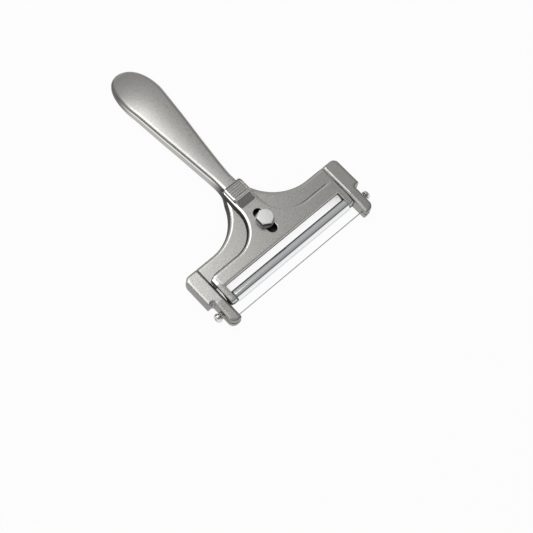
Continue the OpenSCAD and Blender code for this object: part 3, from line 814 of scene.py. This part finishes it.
# Carriage
carriageSizes = {
    "front": 17.9,
    "rear": 27.2,
    "half": 50.4,
    "curve": 21.8,
    "stemHalf": 7.6,
    "stemEnd": 65.7,
    "stemCorner": 2.0,
    "chamfer": (17.9, 11.72, 0.62),
    "slotHalf": 3.2,
    "slotEnds": (27.4, 40.2),
    "drafts": [(12.1, 9.3, 1.3)],
    "forkInner": 48.0,
}
plateEdge = [
    (0.5, 9.1), (0.22, 9.2), (0.06, 9.45), (0.0, 9.8), (0.02, 11.6), (0.05, 11.8), (0.14, 11.93),
    (0.34, 12.07), (0.58, 12.19), (0.78, 12.27), (1.02, 12.33), (1.3, 12.37), (1.65, 12.4),
]
slotEdge = [(0, 8), (0, 11.9), (-0.05, 12.12), (-0.16, 12.28), (-0.34, 12.38), (-0.6, 12.42), (-0.6, 14)]


def plateOutline(sizes):
    # straight arms with their rear edges curving into the stem
    bend = sizes["stemHalf"] + sizes["curve"]
    level = sizes["rear"] + sizes["curve"]
    left = arc((-bend, level), sizes["curve"], 360, 270, 48)
    right = arc((bend, level), sizes["curve"], 270, 180, 48)
    half, front, rear = sizes["half"], sizes["front"], sizes["rear"]
    r = sizes["stemCorner"]
    x, y = sizes["stemHalf"] - r, sizes["stemEnd"] - r
    end = np.concatenate([arc((x, y), r, 0, 90, 8), arc((-x, y), r, 90, 180, 8)])
    armEnds = [(half, front), (half, rear)], [(-half, rear), (-half, front)]
    outline = np.concatenate([armEnds[0], right, end, left, armEnds[1]])
    return spread(outline, divisions(outline, 4.0))


forkProfile = [
    # y, height, corner radius: the eye at the tip, then the ridge back over the plate
    (6.1, 5.0, 3.3), (10.6, 5.0, 2.0), (15.8, 9.1, 2.0), (26.95, 9.1, 0.5), (26.95, 12.36, 1.6),
    (21.2, 12.36, 8.0), (6.1, 11.3, 2.9),
]
# inset from the side profile, place across the fork: the broad bevel lies on the outer side
forkEdge = [
    (0.7, 0.0), (0.42, 0.08), (0.2, 0.22), (0.06, 0.45), (0.0, 0.75), (0.0, 2.2), (0.04, 2.6), (0.14, 3.1),
    (0.28, 3.6), (0.42, 4.0), (0.56, 4.2), (0.75, 4.32), (1.0, 4.38), (1.3, 4.4),
]


def forkShape(sizes):
    # the side profile carried across the fork
    profile = np.array(forkProfile)
    return alongX(roundedSolid(profile[:, :2], profile[:, 2], forkEdge, 12, 1.5), sizes["forkInner"])


blockSizes = {
    "half": 7.05,
    "front": 54.0,
    "rear": 65.4,
    "top": 15.6,
    "corner": 2.0,
    "recessHalf": 5.95,
    "recessFront": 55.9,
    "recessRear": 64.5,
    "recessDepth": 0.7,
    "ribs": 5,
    "ribHalf": 0.5,
    "ribEnd": 0.35,                                  # gap between a rib's end and the field's side
    "fieldEnd": 0.15,
    "tunnelHalf": 6.6,
    "tunnelTop": 11.75,
    "tunnelEnds": (54.04, 90.0),
    "rampFoot": 48.4,
    "rampHalf": 6.4,
    "rampHeights": (10.2, 12.3),                     # of its underside, and of its top at the foot
    "rampStraight": 0.65,                            # share of an even rise in its S
}
blockEdge = [
    (0.35, 11.2), (0.3, 12.2), (0.1, 12.5), (0.0, 12.9), (0.02, 14.5), (0.07, 14.85), (0.16, 15.08),
    (0.3, 15.24), (0.5, 15.36), (0.8, 15.47), (1.1, 15.56), (1.4, 15.6),
]
# inset, height over the floor of the sunk field
fieldEdge = [(0.3, 0.0), (0.12, 0.08), (0.0, 0.3), (-0.05, 0.58), (-0.2, 0.72), (-0.25, 1.3)]
ribEdge = [(0.0, -0.3), (0.0, 0.2), (0.06, 0.38), (0.18, 0.5), (0.34, 0.58)]
# share of the half width in from the ramp's side, share of its height down from the top
rampEdge = [(0, 1), (0, 0.6), (0.03, 0.25), (0.08, 0.12), (0.16, 0.04), (0.26, 0), (0.5, 0), (1, 0)]


def rectangle(x0, y0, x1, y1):
    # its four corners, counterclockwise
    return [(x0, y0), (x1, y0), (x1, y1), (x0, y1)]


def blockShapes(sizes):
    # the thumb block, its sunk field with ribs across, and the ramp down to the plate
    h, front, rear, top = sizes["half"], sizes["front"], sizes["rear"], sizes["top"]
    block = roundedSolid(rectangle(-h, front, h, rear), [sizes["corner"]] * 4, blockEdge, 8, 1.5)
    f, near, far = sizes["recessHalf"], sizes["recessFront"], sizes["recessRear"]
    floorLevel = top - sizes["recessDepth"]
    recess = shifted(roundedSolid(rectangle(-f, near, f, far), [1.1] * 4, fieldEdge, 8, 1.5), z=floorLevel)
    pitch = (far - near - 2 * sizes["fieldEnd"]) / sizes["ribs"]
    ribs = []
    for k in range(sizes["ribs"]):
        middle = near + sizes["fieldEnd"] + (k + 0.5) * pitch
        half, a, b = f - sizes["ribEnd"], middle - sizes["ribHalf"], middle + sizes["ribHalf"]
        rib = roundedSolid(rectangle(-half, a, half, b), [0.48] * 4, ribEdge, 6, 1.5)
        ribs.append(shifted(rib, z=floorLevel))
    # the ramp is lofted along Y: its top rises in a flat S, and its shoulders are rounded
    foot, (low, footTop) = sizes["rampFoot"], sizes["rampHeights"]
    y = np.linspace(foot, front + 1.6, 30)[:, None]
    way = (y - foot) / (front - foot + 0.6)
    topZ = lerp(footTop, top - 0.35, lerp(smooth(way), clamp(way), sizes["rampStraight"]))
    inFrom, drop = np.array(rampEdge).T[:, None]
    x = sizes["rampHalf"] * (1 - inFrom)
    z = topZ - (topZ - low) * drop
    right = np.stack([x + 0 * z, y + 0 * z, z], -1)
    section = np.concatenate([right, right[:, ::-1][:, 1:] * [-1, 1, 1]], 1)
    return block, recess, ribs, loft(section[:, ::-1])


def chamferShape(sizes):
    # a wedge along X that takes the plate's front edge off at 45 degrees
    y, z, size = sizes["chamfer"]
    section = np.array([(y - 1, z - 1), (y + size + 1, z + size + 1), (y - 1, z + size + 1)])
    x = np.array([sizes["forkInner"] + 0.5, -sizes["forkInner"] - 0.5])[:, None, None]
    rings = [np.broadcast_to(x, (2, 3, 1)), np.broadcast_to(section, (2, 3, 2))]
    return loft(np.concatenate(rings, 2)[::-1])


def carriageMesh():
    # the plate joined with the ramp, the block, its ribs and both forks, less the tunnel, the slot and the
    # field
    block, recess, ribs, ramp = blockShapes(blockSizes)
    outline = plateOutline(carriageSizes)
    share = rearShare(outline, carriageSizes["front"], 50)
    plate = ringSolid(outline, plateEdge, carriageSizes["drafts"], share)
    fork = forkShape(carriageSizes)
    t, (near, far) = blockSizes["tunnelHalf"], blockSizes["tunnelEnds"]
    ceiling = blockSizes["tunnelTop"]
    tunnel = roundedSolid(rectangle(-t, near, t, far), [0.2] * 4, [(0, 8), (0, ceiling)], 3, 50)
    # a stadium that opens a little towards the top
    slot = ringSolid(stadium(*carriageSizes["slotEnds"], carriageSizes["slotHalf"], 32), slotEdge)
    steps = [("DIFFERENCE", chamferShape(carriageSizes))]
    steps += [("UNION", v) for v in (ramp, block, fork, mirrored(fork))]
    steps += [("DIFFERENCE", v) for v in (tunnel, slot, recess)]
    steps += [("UNION", rib) for rib in ribs]
    return combine("carriageCasting", plate, steps)


carriageShadePaint = {
    "block": (9.0, 46.0, 12.45),                     # within this X, behind this Y and above this height
    "rim": (5.9, 56.2, 54.0, 15.05),                 # beyond this X or before this Y; behind this; above this
    "rear": (48, 19),                                # within this X and behind this Y the rounding gets painted shade too
    "steep": (0.3, 0.3),
    "blockShare": 0.2,
    "bevel": (0.86, 0.992, 0.02),
    "paintedHighlight": (0.6, 0.75),                             # painted highlight on the plate's bevels, and on the block's rim
}


def carriageSides(x, y, z, nz):
    # painted shade on the plate's sides, and only a little on the thumb block's; the shallow bevels and the
    # block's rim get a painted highlight
    shadePaint, x = carriageShadePaint, np.abs(x)
    half, front, low = shadePaint["block"]
    block = (z > low) * (y > front) * (x < half)
    beside, before, front, low = shadePaint["rim"]
    rim = block * (z > low) * (y > front) * ((x > beside) | (y < before))
    half, front = shadePaint["rear"]
    share = upright(nz, shadePaint["steep"][0] + shadePaint["steep"][1] * (y > front) * (x < half))
    share = share * lerp(1.0, shadePaint["blockShare"], block)
    share -= shadePaint["paintedHighlight"][0] * (1 - block) * within(nz, *shadePaint["bevel"]) * (z > 11)
    return np.where(rim & (nz > 0.5), -shadePaint["paintedHighlight"][1], share)


carriageCasting = piece("carriageCasting", carriageMesh(), castMetal, "carriage_body",
                        ["carriage"], amount=carriageSides)
print("carriage casting made", len(carriageCasting.data.polygons))


# Roller, axle and bushes
rollerSizes = {
    "y": 9.5,
    "z": 8.4,
    "half": 47.6,
    "radius": 4.0,
    "wall": 0.8,
    "axleRadius": 1.5,
    "axleHalf": 52.3,
    "bushLength": 6.0,
    "bushGap": 0.02,                                 # to the tube
    "axleGap": 0.05,                                 # to the axle
}


def placedAcross(shape, sizes):
    # lays a shape that was turned about Z along X, at the roller's axis
    return alongX(shape, 0, sizes["y"], sizes["z"])


def rollerShape(sizes):
    # a tube with softened ends; the rings along it are there for an even highlight
    r, inner, h = sizes["radius"], sizes["radius"] - sizes["wall"], sizes["half"]
    profile = [(inner + 0.1, -h), (r - 0.28, -h), (r - 0.12, -h + 0.04), (r - 0.03, -h + 0.14)]
    profile += [(r, x) for x in np.linspace(-h + 0.3, h - 0.3, 9)]
    profile += [(r - 0.03, h - 0.14), (r - 0.12, h - 0.04), (r - 0.28, h)]
    profile += [(inner + 0.1, h), (inner, h - 0.1), (inner, -h + 0.1)]
    return placedAcross(turnedRing(profile, 128), sizes)


def axleShape(sizes):
    # a pin with rounded ends
    r, h = sizes["axleRadius"], sizes["axleHalf"]
    end = np.array([(0, h), (r - 0.3, h), (r - 0.1, h - 0.06), (r, h - 0.25)])
    return placedAcross(turned(np.concatenate([end * [1, -1], [(r, 0)], end[::-1]]), 64), sizes)


def bushShape(sizes, side):
    # a collar pressed into the roller's end, with a chamfered bore
    outer, bore = sizes["radius"] - sizes["wall"] - sizes["bushGap"], sizes["axleRadius"] + sizes["axleGap"]
    h = sizes["half"] - sizes["bushGap"]
    inner = h - sizes["bushLength"]
    shape = turnedRing([
        (bore, inner + 0.2), (bore + 0.2, inner), (outer - 0.2, inner), (outer, inner + 0.2),
        (outer, h - 0.25), (outer - 0.1, h - 0.06), (outer - 0.3, h),
        (bore + 0.3, h), (bore + 0.1, h - 0.06), (bore, h - 0.25)], 64)
    shape = placedAcross(shape, sizes)
    return mirrored(shape) if side < 0 else shape


piece("rollerTube", rollerShape(rollerSizes), rollerChrome, "roller_body", ["roller_tube"])
piece("rollerAxle", axleShape(rollerSizes), platedSteel, "carriage_body", ["roller_axle"])
for name, side in (("Left", -1), ("Right", 1)):
    piece("rollerBush" + name, bushShape(rollerSizes, side), bushPlastic, "roller_body",
          ["roller_bush_" + name.lower()])
print("roller made")


# Clamping bolt, washers and nut
boltSizes = {
    "y": yokeSizes["boltY"],
    "across": 10.0,
    "headLow": 13.3,
    "headTop": 17.3,
    "topRadius": 4.85,
    "shank": 3.0,
    "point": 1.4,
    "washerRadius": 6.0,
    "washer": (12.5, 13.3),
    "spring": (5.2, 6.4),
    "springRadii": (3.2, 5.3),
    "springGap": 14.0,
    "nut": (2.0, 5.2),
    "nutFace": 4.6,                                  # radius of its flat faces
    "coneAngle": 30.0,                               # of the head's and the nut's chamfers
    "boreGap": 0.05,
}


def hexRadius(across, a):
    # distance from a hexagon's middle to its side at angle a, with flats across X
    return across / 2 / np.cos((a + np.pi / 6) % (np.pi / 3) - np.pi / 6)


def boltShape(sizes):
    # a shank with a hexagon head: the head's side meets a cone, which leaves a round top
    a = circle(192)
    hexagon = hexRadius(sizes["across"], a)
    top, low, shank, point = sizes["headTop"], sizes["headLow"], sizes["shank"], sizes["point"]
    crown = sizes["topRadius"]
    edge = top - np.tan(np.radians(sizes["coneAngle"])) * (hexagon - crown)
    rows = [(0, point), (shank - 0.5, point), (shank, point + 0.5), (shank, low)]
    rows += [(hexagon - 0.3, low), (hexagon - 0.1, low + 0.05), (hexagon, low + 0.2)]
    rows += [(hexagon, edge - 0.12), (hexagon - 0.06, edge)]
    rows += [(lerp(hexagon, crown, t), lerp(edge, top, t)) for t in np.linspace(0.15, 0.85, 4)]
    rows += [(crown - 0.05, top - 0.02), (crown - 0.3, top), (0, top)]
    return shifted(loft(np.array([around(r, z, a) for r, z in rows])), 0, sizes["y"])


def washerShape(inner, outer, low, high, edge=0.15):
    # a flat ring with rounded outer edges
    third = 0.3 * edge
    return turnedRing([
        (inner, low + edge), (inner + edge, low), (outer - edge, low), (outer - third, low + third),
        (outer, low + edge), (outer, high - edge), (outer - third, high - third), (outer - edge, high),
        (inner + edge, high), (inner, high - edge)], 96)


def springShape(sizes):
    # a square ring with a gap, whose ends are closed
    inner, outer = sizes["springRadii"]
    low, high = sizes["spring"]
    e = 0.12
    profile = np.array([
        (inner, low + e), (inner + e, low), (outer - e, low), (outer, low + e),
        (outer, high - e), (outer - e, high), (inner + e, high), (inner, high - e)])
    a = np.radians(np.linspace(90 + sizes["springGap"] / 2, 450 - sizes["springGap"] / 2, 90))[:, None]
    return shifted(loft(around(profile[:, 0], profile[:, 1], a)[:, ::-1]), 0, sizes["y"])


def nutShape(sizes):
    # a hexagon with both faces coned, and a countersunk bore
    a = circle(192)
    hexagon = hexRadius(sizes["across"], a)
    low, high = sizes["nut"]
    face, bore = sizes["nutFace"], sizes["shank"] + sizes["boreGap"]
    cone = np.maximum(0, np.tan(np.radians(sizes["coneAngle"])) * (hexagon - face))
    rows = [(bore, low + 0.4), (bore + 0.4, low), (face, low), (hexagon, low + cone)]
    rows += [(hexagon, high - cone), (face, high), (bore + 0.4, high), (bore, high - 0.4)]
    return shifted(loft(np.array([around(r, z, a) for r, z in rows]), True), 0, sizes["y"])


# the bolt's upright faces get painted shade
piece("clampBolt", boltShape(boltSizes), platedSteel, "clamp_body", ["centre_bolt"], 18,
      lambda x, y, z, nz: upright(nz))
boltWasher = shifted(washerShape(3.25, boltSizes["washerRadius"], *boltSizes["washer"]), 0, boltSizes["y"])
# the washer gets painted shade, half on its flat faces and full on its upright ones
piece("boltWasher", boltWasher, platedSteel, "frame_body", ["bolt_washer"],
      amount=lambda x, y, z, nz: 0.5 + 0.5 * upright(nz))
piece("springWasher", springShape(boltSizes), springSteel, "frame_body", ["spring_washer"])
piece("clampNut", nutShape(boltSizes), platedSteel, "frame_body", ["bolt_nut"], 18)
print("clamp made")


# Cutting wire and tension screws
screwSizes = {
    "y": cheekSizes["screwY"],
    "z": cheekSizes["screwZ"],
    "head": (63.61, 65.57),
    "headRadius": 2.8,
    "shank": 1.5,
    "end": 54.6,
    "washer": (63.11, 63.61),
    "washerRadius": 3.0,
    "slotHalf": (1.55, 0.42),                        # length and width of each slot of the cross
    "slotTurns": (25, 115),
}
wireSizes = {
    "radius": 0.35,
    "z": 5.3,
    "bendX": 53.9,
    "bend": 1.4,
    "exit": (60.6, 4.6, 7.2),
    "lift": (61.2, 4.95, 7.4),
    "turnX": 61.2,
    "turnPitch": 1.15,
    "turnRadius": 2.1,
    "turnStart": 0.06,
    "turns": 1.25,
    "endLength": 0.1,                                # at each end the wire is drawn in to this share
    "endShare": 0.7,
}


def bend(a, b, c, steps):
    # a quadratic curve from a to c that leans towards b
    t = np.linspace(0, 1, steps + 1)[:, None]
    return (1 - t) ** 2 * a + 2 * t * (1 - t) * b + t ** 2 * c


def wirePath(sizes, screw):
    # straight between the cheeks, bent into the slit, up round the nose and then a helix round the screw
    corner = np.array([sizes["bendX"], 0, sizes["z"]])
    leave = np.array(sizes["exit"])
    ahead = unit(leave - corner)
    s = np.linspace(sizes["turnStart"], sizes["turns"], 72)[:, None]
    x = sizes["turnX"] + sizes["turnPitch"] * s
    y = screw["y"] + sizes["turnRadius"] * np.sin(2 * np.pi * s)
    z = screw["z"] + sizes["turnRadius"] * np.cos(2 * np.pi * s)
    turns = np.concatenate([x, y, z], 1)
    first = corner - [sizes["bend"], 0, 0]
    half = np.concatenate([
        bend(first, corner, corner + sizes["bend"] * ahead, 10), leave[None] - 0.01 * ahead,
        bend(leave, np.array(sizes["lift"]), turns[0], 12)[1:], turns[1:]])
    straight = lerp(first * [-1, 1, 1], first, np.linspace(0, 1, 40)[1:-1, None])
    return np.concatenate([half[::-1] * [-1, 1, 1], straight, half])


def tubeAlong(path, sizes, sides=20):
    # a round tube: each section stands across the path, and its frame turns as little as it can
    ahead = unit(np.gradient(path, axis=0))
    across = np.empty_like(path)
    across[0] = unit(np.cross(ahead[0], [0.3, 0.2, 1]))
    for k in range(1, len(path)):
        across[k] = unit(across[k - 1] - ahead[k] * (across[k - 1] @ ahead[k]))
    end = sizes["endLength"]
    middles = np.concatenate([[path[0] - end * ahead[0]], path, [path[-1] + end * ahead[-1]]])
    across, up = [np.concatenate([v[:1], v, v[-1:]])[:, None] for v in (across, np.cross(ahead, across))]
    size = np.full((len(middles), 1, 1), sizes["radius"])
    size[[0, -1]] *= sizes["endShare"]
    a = circle(sides)[None, :, None]
    return loft(middles[:, None] + size * (np.cos(a) * across + np.sin(a) * up))


def screwMesh(sizes, side):
    # a pan head with a cross recess on a plain shank, standing along X; each slot narrows towards its bottom
    low, high = sizes["head"]
    r, shank, end = sizes["headRadius"], sizes["shank"], sizes["end"]
    profile = [(0, end), (shank - 0.4, end), (shank, end + 0.4), (shank, low)]
    profile += [(r - 0.12, low), (r, low + 0.12), (r, low + 0.85), (r - 0.06, low + 1.1)]
    profile += [(r - 0.2, low + 1.35), (r - 0.45, low + 1.58), (r - 0.85, low + 1.77)]
    profile += [(r - 1.4, low + 1.89), (r - 2.1, high), (0, high)]
    shapes = [turned(profile, 80)]
    long, thin = sizes["slotHalf"]
    for turn in np.radians(sizes["slotTurns"]):
        rings = [
            [(x * share, y * share, high - depth) for x, y in rectangle(-long, -thin, long, thin)]
            for depth, share in ((1.15, 0.45), (0.5, 0.8), (-0.6, 1.1))]
        points, faces = loft(np.array(rings))
        c, s = np.cos(turn), np.sin(turn)
        shapes.append((points @ np.array([[c, s, 0], [-s, c, 0], [0, 0, 1]]), faces))
    shapes = [alongX(v, 0, sizes["y"], sizes["z"]) for v in shapes]
    if side < 0:
        shapes = [mirrored(v) for v in shapes]
    return combine("tensionScrew", shapes[0], [("DIFFERENCE", v) for v in shapes[1:]])


wire = tubeAlong(wirePath(wireSizes, screwSizes), wireSizes)
piece("cuttingWire", wire, wireSteel, "frame_body", ["cutting_wire"])
for name, side in (("Left", -1), ("Right", 1)):
    piece("tensionScrew" + name, screwMesh(screwSizes, side), screwNickel, name.lower() + "_screw_body",
          ["tension_screw_" + name.lower()], 28)
    washer = washerShape(screwSizes["shank"] + 0.05, screwSizes["washerRadius"], *screwSizes["washer"], 0.1)
    washer = alongX(washer, 0, screwSizes["y"], screwSizes["z"])
    piece("screwWasher" + name, mirrored(washer) if side < 0 else washer, screwNickel, "frame_body",
          ["screw_washer_" + name.lower()])
print("wire and screws made")


# Studio
floorLook = {
    "color": (0.9, 0.9, 0.9),
    "half": 3.0,
    "lift": 0.95,                                    # how far the camera and the metal see it as white
    "nook": 0.02,                                    # reach of the ambient occlusion that cuts the glow in gaps narrower than this: painted shade
    "nookOpen": (0.03, 0.16),                        # from this openness on it is dark, and white
}


def makeFloor(look):
    # a pale diffuse floor; what the camera and the metal see of it is lifted towards white by a glow, which
    # ambient occlusion cuts in tight gaps as painted shade, and the shadow stays
    half = look["half"]
    mesh = bpy.data.meshes.new("studioFloor")
    mesh.from_pydata([(x, y, 0) for x, y in rectangle(-half, -half, half, half)], [], [(0, 1, 2, 3)])
    floor = addObject("studioFloor", mesh)
    made, tree, shader = newMaterial("paleFloor", look["color"], 0.0, 0.9)
    shader.inputs["Specular IOR Level"].default_value = 0.0
    openness = addNode(tree, "ShaderNodeAmbientOcclusion")
    openness.inputs["Distance"].default_value = look["nook"]
    light = addNode(tree, "ShaderNodeEmission")
    strength = ranged(tree, openness.outputs["AO"], 0.0, 1.0, *look["nookOpen"])
    tree.links.new(strength, light.inputs["Strength"])
    ray = addNode(tree, "ShaderNodeLightPath").outputs
    seen = addNode(tree, "ShaderNodeMath", [ray["Is Camera Ray"], ray["Is Glossy Ray"]], operation="MAXIMUM")
    seen = addNode(tree, "ShaderNodeMath", [seen.outputs[0], ray["Is Transmission Ray"]], operation="MAXIMUM")
    share = addNode(tree, "ShaderNodeMath", [seen.outputs[0]], operation="MULTIPLY")
    share.inputs[1].default_value = look["lift"]
    mix = addNode(tree, "ShaderNodeMixShader", [share.outputs[0], shader.outputs[0], light.outputs[0]])
    tree.links.new(mix.outputs[0], tree.nodes["Material Output"].inputs["Surface"])
    mesh.materials.append(made)


# how far a direction goes along the sky's axis, from -1 to 1, and its grey: a white table and wall in front,
# a dim room above them and to the sides, a soft ceiling that is brightest at the back
skyLook = {
    "axis": (0.0, 0.66, 0.75),
    "steps": [
        (-1.0, 0.95), (-0.12, 0.88), (0.02, 0.11), (0.2, 0.11), (0.42, 0.33), (0.8, 0.38), (0.95, 0.46),
        (1.0, 0.48),
    ],
}


def makeSky(look):
    # the world's grey is a ramp over each direction's product with the axis
    world = bpy.data.worlds.new("studioSky")
    world.use_nodes = True
    tree = world.node_tree
    along = addNode(tree, "ShaderNodeVectorMath", [addNode(tree, "ShaderNodeTexCoord").outputs["Generated"]],
                    operation="DOT_PRODUCT")
    along.inputs[1].default_value = look["axis"]
    ramp = addNode(tree, "ShaderNodeValToRGB", [ranged(tree, along.outputs["Value"], 0.0, 1.0, -1.0, 1.0)])
    while len(ramp.color_ramp.elements) < len(look["steps"]):
        ramp.color_ramp.elements.new(0.5)
    for element, (position, grey) in zip(ramp.color_ramp.elements, look["steps"]):
        element.position = (position + 1) / 2
        element.color = (grey, grey, grey, 1)
    tree.links.new(ramp.outputs["Color"], tree.nodes["Background"].inputs["Color"])
    bpy.context.scene.world = world


lampLook = {
    "place": (-0.17, 0.36, 0.80),
    "aim": (-0.17, 0.36, 0),
    "size": (0.76, 0.52),
    "radiance": 2.1,
}


def makeLamp(name, look):
    # power = radiance * pi * area
    data = bpy.data.lights.new(name, "AREA")
    data.shape = "RECTANGLE"
    data.size, data.size_y = look["size"]
    data.energy = look["radiance"] * np.pi * data.size * data.size_y
    lamp = addObject(name, data)
    lamp.location = look["place"]
    lamp.rotation_euler = (Vector(look["aim"]) - Vector(look["place"])).to_track_quat("-Z", "Y").to_euler()


makeFloor(floorLook)
makeSky(skyLook)
makeLamp("softbox", lampLook)
bpy.context.scene.view_settings.view_transform = "Standard"
print("studio ready")
